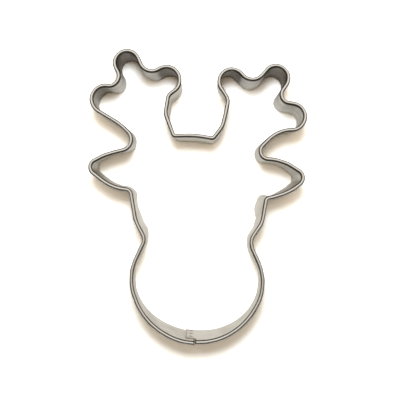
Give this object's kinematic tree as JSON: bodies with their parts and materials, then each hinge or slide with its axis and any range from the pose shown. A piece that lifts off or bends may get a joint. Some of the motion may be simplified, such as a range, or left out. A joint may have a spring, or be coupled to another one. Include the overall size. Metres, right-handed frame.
{
  "type": "cookie cutter",
  "caption": "Reindeer-face cookie cutter: a thin metal strip on edge with a rolled safety rim, bent to lobed antlers, pointed ears and a round nose, lapped and spot-welded",
  "frame": {"origin": "under the middle of the outline's box, on the plane that the cutting edge stands on", "axes": "+X across the face to the viewer's right, +Y from the nose to the antlers, +Z from the cutting edge up to the rolled rim"},
  "size_m": [0.0814, 0.11, 0.025],
  "materials": {
    "tinplate": "bright tinplate, satin, with fine lengthwise rolling grain",
    "weld_metal": "dull spot-weld metal with a heat tint round it"
  },
  "bodies": {
    "root": {"cutter_band": "tinplate", "spot_weld_lower": "weld_metal", "spot_weld_middle": "weld_metal", "spot_weld_upper": "weld_metal"}
  },
  "joints": []
}
